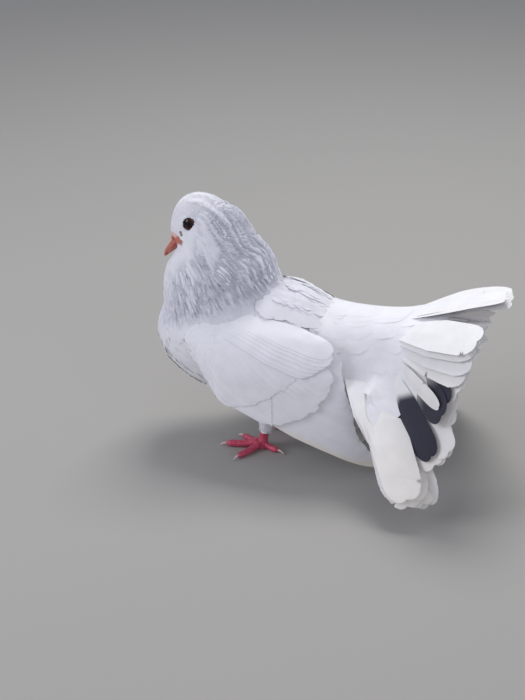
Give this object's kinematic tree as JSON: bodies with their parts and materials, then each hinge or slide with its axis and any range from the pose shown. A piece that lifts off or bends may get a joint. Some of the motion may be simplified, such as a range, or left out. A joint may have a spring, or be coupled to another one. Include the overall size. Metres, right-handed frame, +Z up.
{
  "type": "fantail pigeon",
  "caption": "White fantail pigeon standing with its neck drawn up, its crop full, its wings folded low and its tail spread in a drooping fan.",
  "frame": {"origin": "on the floor, under the middle of the bird's box", "axes": "+Z up, -X the way the bird faces, -Y its left side"},
  "size_m": [0.2642, 0.1924, 0.1934],
  "materials": {
    "plumage": "soft matt white feathers",
    "bill": "coral horn with a soft sheen",
    "eye": "wet dark eye",
    "scale": "crimson scaled skin",
    "claw": "pale horn"
  },
  "bodies": {
    "root": {"head": "plumage", "neck": "plumage", "torso": "plumage", "eye_left": "eye", "eye_right": "eye", "bill_upper": "bill", "bill_lower": "bill", "wing_left": "plumage", "wing_right": "plumage", "tail_middle": "plumage", "tail_left": "plumage", "tail_right": "plumage", "thigh_left": "plumage", "shank_left": "scale", "toe_left_front": "scale", "claw_left_front": "claw", "toe_left_inner": "scale", "claw_left_inner": "claw", "toe_left_outer": "scale", "claw_left_outer": "claw", "toe_left_hind": "scale", "claw_left_hind": "claw", "thigh_right": "plumage", "shank_right": "scale", "toe_right_front": "scale", "claw_right_front": "claw", "toe_right_inner": "scale", "claw_right_inner": "claw", "toe_right_outer": "scale", "claw_right_outer": "claw", "toe_right_hind": "scale", "claw_right_hind": "claw"}
  },
  "joints": []
}
